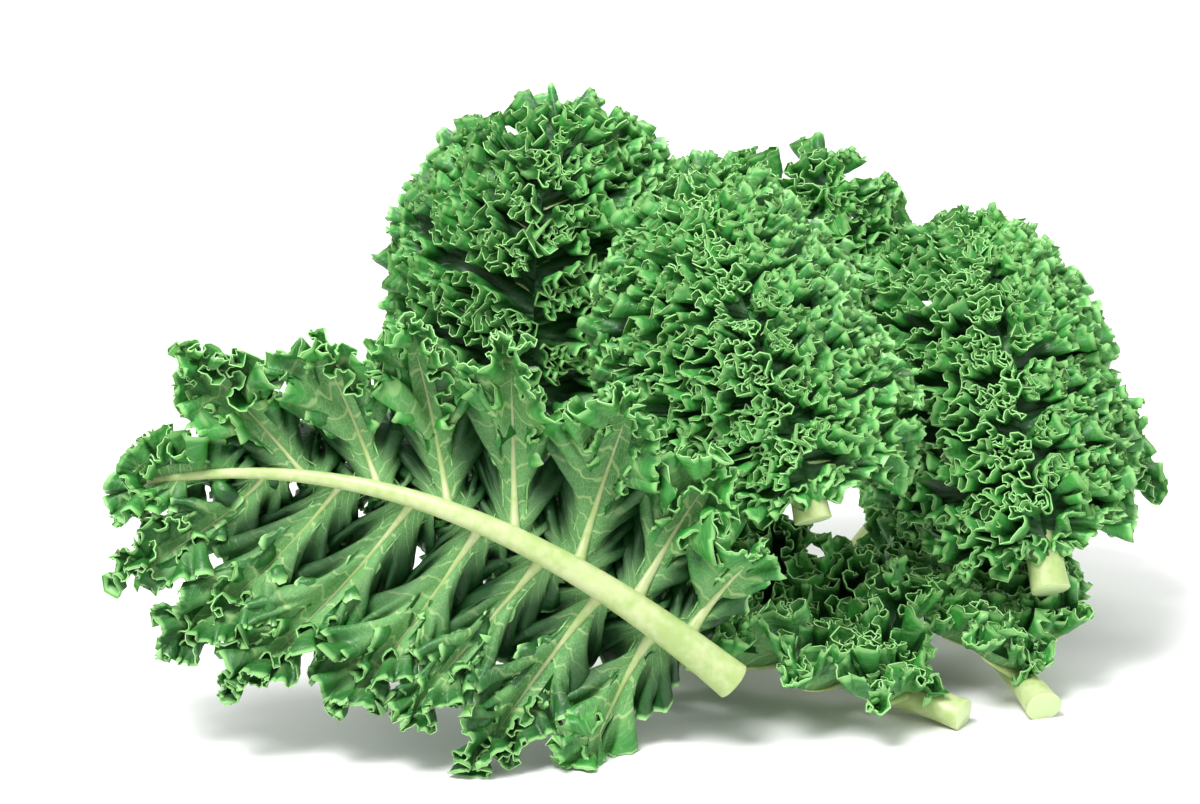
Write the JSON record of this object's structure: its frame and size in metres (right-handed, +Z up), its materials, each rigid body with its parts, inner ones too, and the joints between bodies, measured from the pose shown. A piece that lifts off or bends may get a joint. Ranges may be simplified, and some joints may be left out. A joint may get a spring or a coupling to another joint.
{
  "type": "kale bunch",
  "caption": "Loose heap of cut curly kale leaves, pale stalks with green ruffled lobed blades, lying on a surface.",
  "frame": {"origin": "on the surface that the bunch lies on, under the middle of its box", "axes": "+Z up, +X along the heap's longest extent, -Y towards the front, where the cut stalks point"},
  "size_m": [0.4053, 0.2902, 0.2123],
  "materials": {
    "stalk": "smooth pale green stalk, slightly waxy",
    "blade": "matt green leaf, paler and duller underneath"
  },
  "bodies": {
    "root": {"front_leaf_stalk": "stalk", "front_leaf_blade": "blade", "back_left_leaf_stalk": "stalk", "back_left_leaf_blade": "blade", "centre_leaf_stalk": "stalk", "centre_leaf_blade": "blade", "right_leaf_stalk": "stalk", "right_leaf_blade": "blade", "low_front_leaf_stalk": "stalk", "low_front_leaf_blade": "blade", "low_right_leaf_stalk": "stalk", "low_right_leaf_blade": "blade", "back_leaf_stalk": "stalk", "back_leaf_blade": "blade", "back_right_leaf_stalk": "stalk", "back_right_leaf_blade": "blade"}
  },
  "joints": []
}
